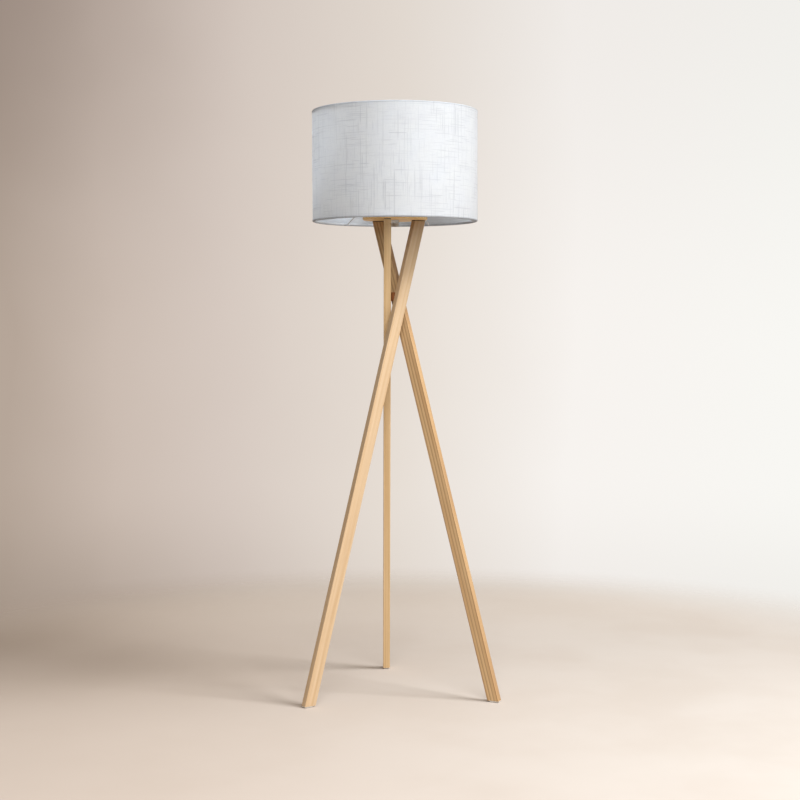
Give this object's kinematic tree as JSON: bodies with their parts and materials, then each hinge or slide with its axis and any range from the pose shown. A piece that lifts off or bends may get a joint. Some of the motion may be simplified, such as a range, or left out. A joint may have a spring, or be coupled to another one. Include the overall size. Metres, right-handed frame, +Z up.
{
  "type": "tripod floor lamp",
  "caption": "Floor lamp with a cloth drum shade on crossing wooden tripod legs, held together by a hub at the waist and a round top plate, with a screw-in bulb.",
  "frame": {"origin": "on the floor, on the lamp's axis, midway between the feet", "axes": "+Z up; +Y towards the back foot; +X to the right when the two other feet are in front"},
  "size_m": [0.502, 0.4956, 1.49],
  "materials": {
    "wood": "clear matt lacquer",
    "felt": "pressed felt",
    "black_steel": "black powder coat",
    "zinc_steel": "zinc plated",
    "white_steel": "white powder coat",
    "white_plastic": "moulded",
    "black_plastic": "moulded",
    "brass": "plain",
    "shade_cloth": "slub weave",
    "liner_film": "white film",
    "board_aluminium": "milled",
    "opal_plastic": "opal"
  },
  "bodies": {
    "stand": {"leg_front_left": "wood", "leg_front_right": "wood", "leg_back": "wood", "top_plate": "wood", "foot_pad_front_left": "felt", "foot_pad_front_right": "felt", "foot_pad_back": "felt", "waist_hub": "wood", "waist_pins": "zinc_steel", "leg_spacers": "black_steel", "leg_inserts": "zinc_steel", "leg_bolts": "zinc_steel", "stem_tube": "zinc_steel", "lower_washer": "zinc_steel", "lower_nut": "zinc_steel", "strain_relief": "white_plastic", "upper_washer": "zinc_steel", "stem_sleeve": "white_steel", "holder_cap": "white_plastic", "lock_nut": "zinc_steel", "holder_skirt": "white_plastic", "holder_core": "white_plastic", "terminal_screws": "brass", "thread_shell": "brass", "centre_tongue": "brass"},
    "shade": {"shade_cover": "shade_cloth", "shade_liner": "liner_film", "lower_frame_ring": "white_steel", "upper_frame_ring": "white_steel", "carrier_washer": "white_steel", "shade_arm_left": "white_steel", "shade_arm_right": "white_steel", "shade_arm_back": "white_steel"},
    "clamp_ring": {"clamp_ring": "white_plastic"},
    "bulb": {"bulb_contact": "brass", "bulb_insulator": "black_plastic", "bulb_cap": "zinc_steel", "bulb_housing": "white_plastic", "light_board": "board_aluminium", "bulb_globe": "opal_plastic"}
  },
  "joints": [
    {"name": "shade_turn", "type": "hinge", "parent": "stand", "child": "shade", "pos_m": [0, 0, 1.3203], "axis": [0, 0, 1], "continuous": true},
    {"name": "clamp_ring_turn", "type": "hinge", "parent": "stand", "child": "clamp_ring", "pos_m": [0, 0, 1.3226], "axis": [0, 0, 1], "range_deg": [0, 1440]},
    {"name": "bulb_turn", "type": "hinge", "parent": "stand", "child": "bulb", "pos_m": [0, 0, 1.3256], "axis": [0, 0, 1], "range_deg": [0, 1080]}
  ]
}
